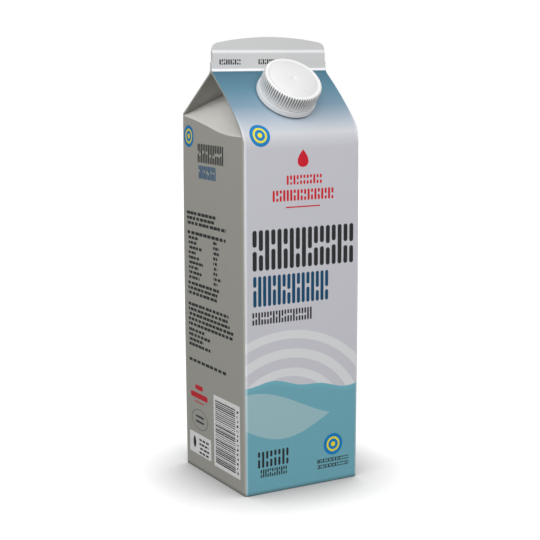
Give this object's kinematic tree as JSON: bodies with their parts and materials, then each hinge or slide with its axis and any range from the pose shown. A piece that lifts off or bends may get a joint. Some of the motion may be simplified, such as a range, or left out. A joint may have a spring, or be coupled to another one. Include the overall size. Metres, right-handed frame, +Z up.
{
  "type": "gable-top drink carton",
  "caption": "Square gable-top board carton of soured milk with a folded, sealed top fin and a ribbed white screw cap on the front roof.",
  "frame": {"origin": "middle of the square base, on the surface that the carton stands on", "axes": "+Z up, -Y towards the front panel and the screw cap, X across the front along the top fin"},
  "size_m": [0.07, 0.0723, 0.2417],
  "materials": {
    "printed_board": "smooth coated board, printed in pale grey, blue and teal fields, satin",
    "neck_plastic": "moulded white, satin",
    "ring_plastic": "moulded white, satin",
    "cap_plastic": "moulded white, fine ribs, satin"
  },
  "bodies": {
    "root": {"carton": "printed_board", "spout_neck": "neck_plastic", "tamper_ring": "ring_plastic", "screw_cap": "cap_plastic"}
  },
  "joints": []
}
